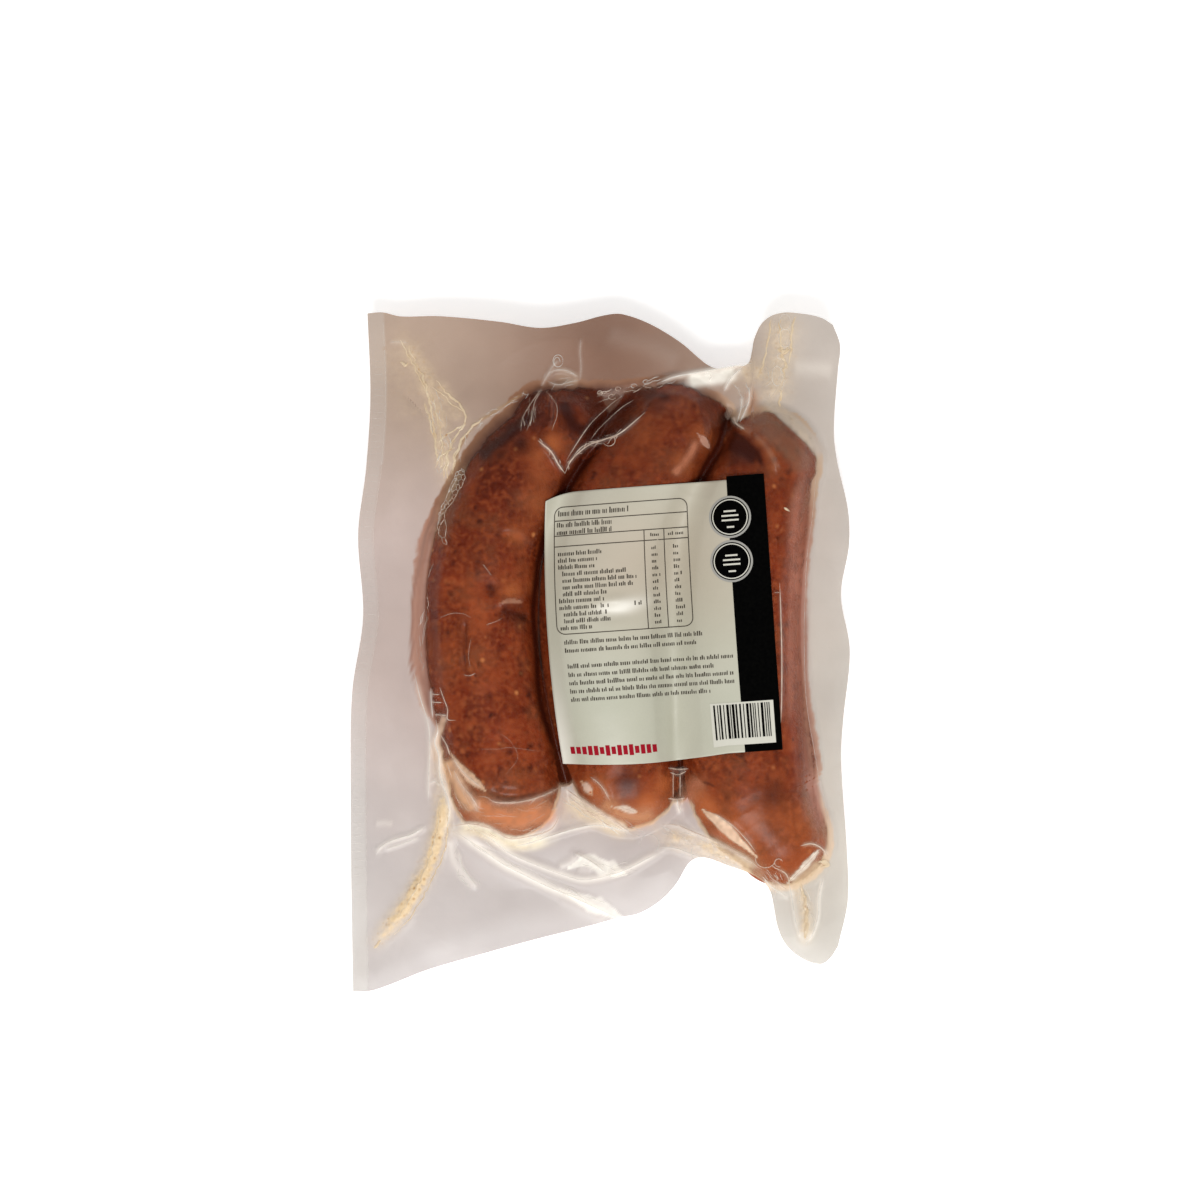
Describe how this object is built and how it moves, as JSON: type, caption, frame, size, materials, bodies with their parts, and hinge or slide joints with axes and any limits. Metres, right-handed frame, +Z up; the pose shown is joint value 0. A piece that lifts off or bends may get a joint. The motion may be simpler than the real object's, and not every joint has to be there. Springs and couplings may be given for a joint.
{
  "type": "vacuum-packed sausage links",
  "caption": "Fat curved sausage links lying side by side in a clear vacuum-sealed pouch with a wide wavy margin and a paper label on top.",
  "frame": {"origin": "centre of the pouch's bounding box, on the surface that the pack lies on", "axes": "+Z up, out of the labelled side; +Y along the links; +X across them, with the wide margin of film at -X"},
  "size_m": [0.1467, 0.1997, 0.0287],
  "materials": {
    "film": "glossy clear film drawn tight over reddish-brown sausage, hazy and colourless in the margin",
    "sausage": "smooth reddish-brown casing, mottled with meat and flecks of fat",
    "fat": "cream fat and juice caught between the films",
    "label": "satin coated paper, pale grey-green",
    "ink": "satin print"
  },
  "bodies": {
    "root": {"pouch": "film", "label": "label"}
  },
  "joints": []
}
